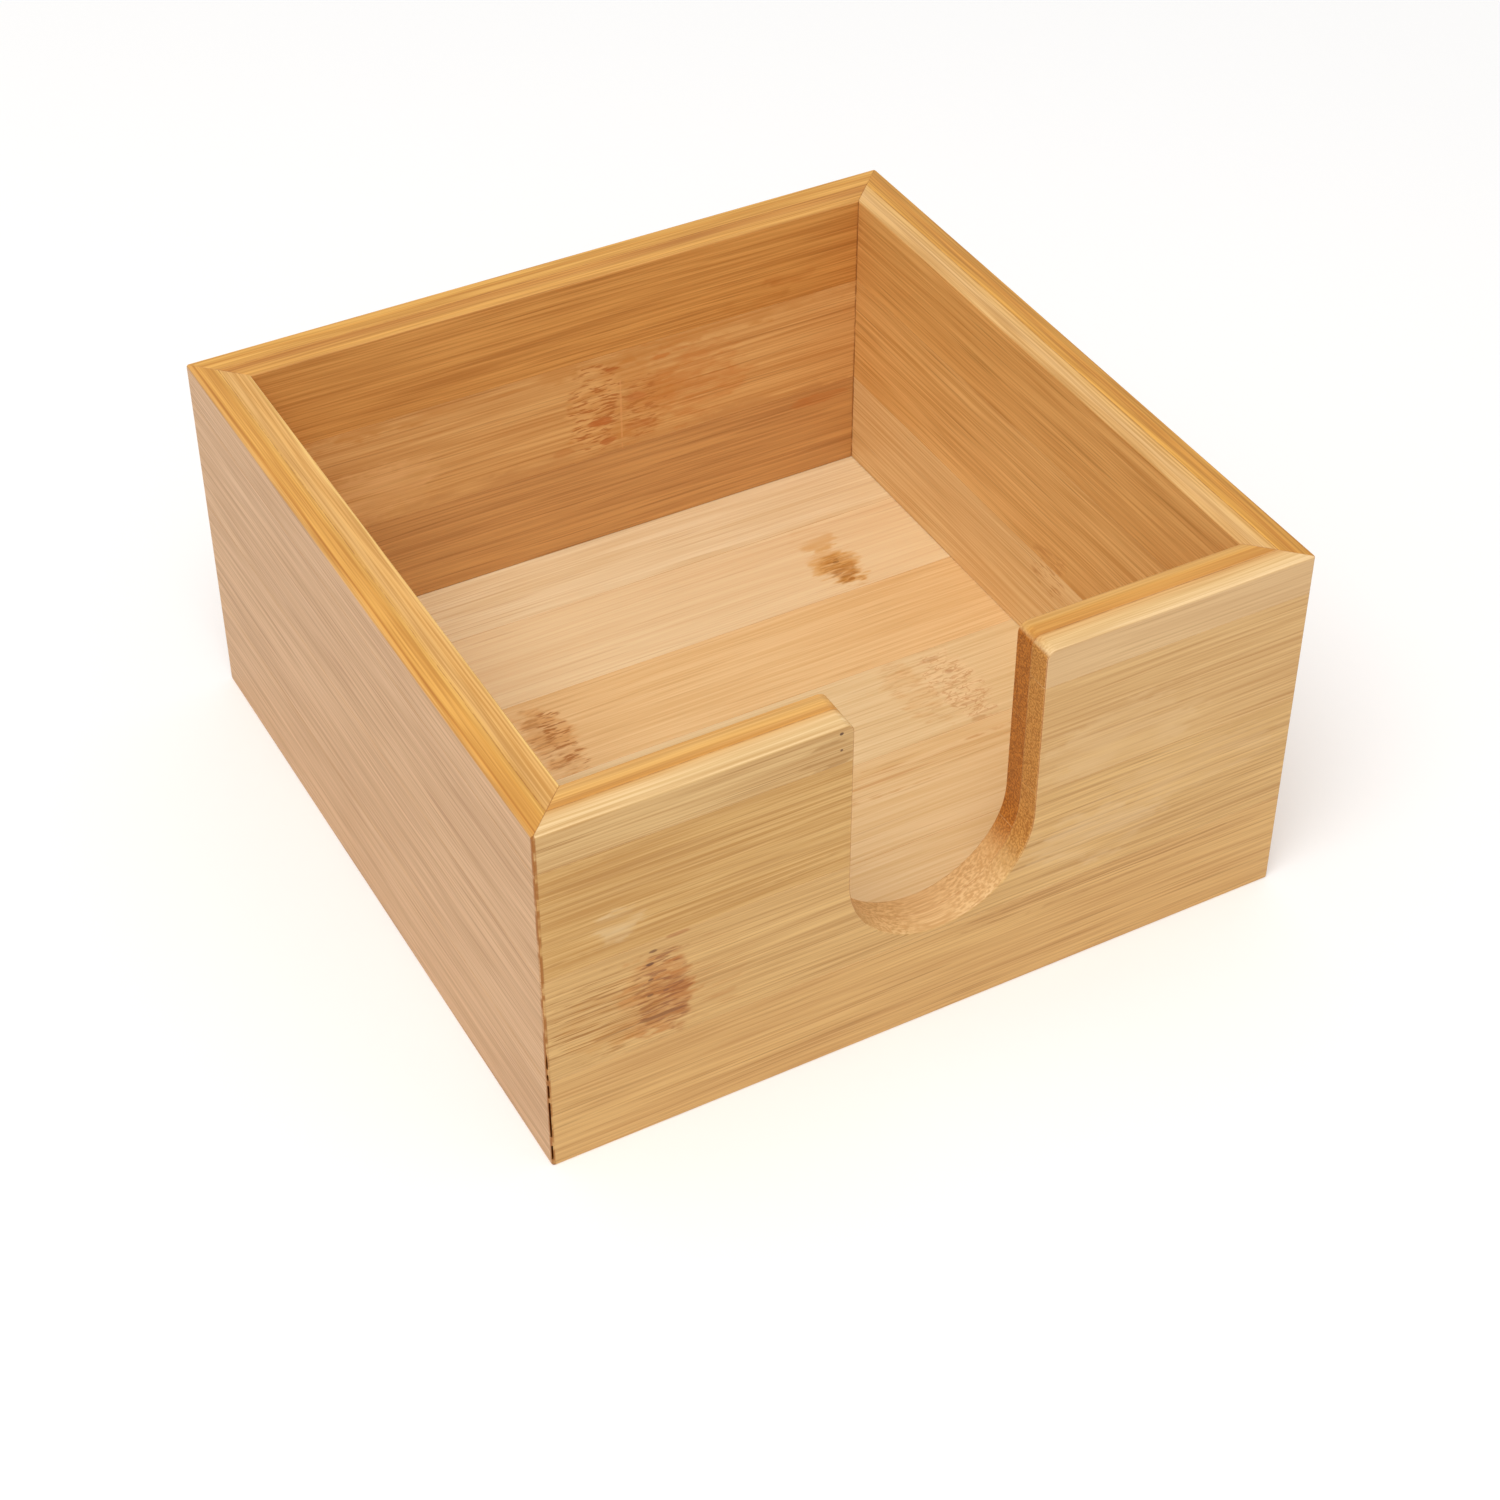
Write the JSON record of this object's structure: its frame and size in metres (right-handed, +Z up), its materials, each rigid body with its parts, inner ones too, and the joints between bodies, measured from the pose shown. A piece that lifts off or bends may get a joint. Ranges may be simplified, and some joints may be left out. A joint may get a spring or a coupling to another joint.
{
  "type": "napkin holder",
  "caption": "Open-topped square napkin box in laminated bamboo, with mitred walls, a U-shaped finger notch in the front wall and a floor held in a groove.",
  "frame": {"origin": "on the surface the box stands on, under the middle of the box", "axes": "+Z up; -Y towards the front wall with the finger notch; +X to the right as seen from the front"},
  "size_m": [0.152, 0.152, 0.077],
  "materials": {
    "outer_ply_bamboo": "satin clear lacquer on flat-grain bamboo",
    "inner_ply_bamboo": "satin clear lacquer on flat-grain bamboo",
    "floor_bamboo": "satin clear lacquer on flat-grain bamboo"
  },
  "bodies": {
    "root": {"back_inner_strip_1": "inner_ply_bamboo", "back_inner_strip_2": "inner_ply_bamboo", "back_inner_strip_3": "inner_ply_bamboo", "back_inner_strip_4": "inner_ply_bamboo", "back_outer_strip_1": "outer_ply_bamboo", "back_outer_strip_2": "outer_ply_bamboo", "back_outer_strip_3": "outer_ply_bamboo", "back_outer_strip_4": "outer_ply_bamboo", "base_strip_1": "floor_bamboo", "base_strip_2": "floor_bamboo", "base_strip_3": "floor_bamboo", "base_strip_4": "floor_bamboo", "base_strip_5": "floor_bamboo", "base_strip_6": "floor_bamboo", "front_inner_strip_1_left": "inner_ply_bamboo", "front_inner_strip_1_right": "inner_ply_bamboo", "front_inner_strip_2_left": "inner_ply_bamboo", "front_inner_strip_2_right": "inner_ply_bamboo", "front_inner_strip_3": "inner_ply_bamboo", "front_inner_strip_4": "inner_ply_bamboo", "front_outer_strip_1_left": "outer_ply_bamboo", "front_outer_strip_1_right": "outer_ply_bamboo", "front_outer_strip_2_left": "outer_ply_bamboo", "front_outer_strip_2_right": "outer_ply_bamboo", "front_outer_strip_3": "outer_ply_bamboo", "front_outer_strip_4": "outer_ply_bamboo", "left_inner_strip_1": "inner_ply_bamboo", "left_inner_strip_2": "inner_ply_bamboo", "left_inner_strip_3": "inner_ply_bamboo", "left_inner_strip_4": "inner_ply_bamboo", "left_outer_strip_1": "outer_ply_bamboo", "left_outer_strip_2": "outer_ply_bamboo", "left_outer_strip_3": "outer_ply_bamboo", "left_outer_strip_4": "outer_ply_bamboo", "right_inner_strip_1": "inner_ply_bamboo", "right_inner_strip_2": "inner_ply_bamboo", "right_inner_strip_3": "inner_ply_bamboo", "right_inner_strip_4": "inner_ply_bamboo", "right_outer_strip_1": "outer_ply_bamboo", "right_outer_strip_2": "outer_ply_bamboo", "right_outer_strip_3": "outer_ply_bamboo", "right_outer_strip_4": "outer_ply_bamboo"}
  },
  "joints": []
}
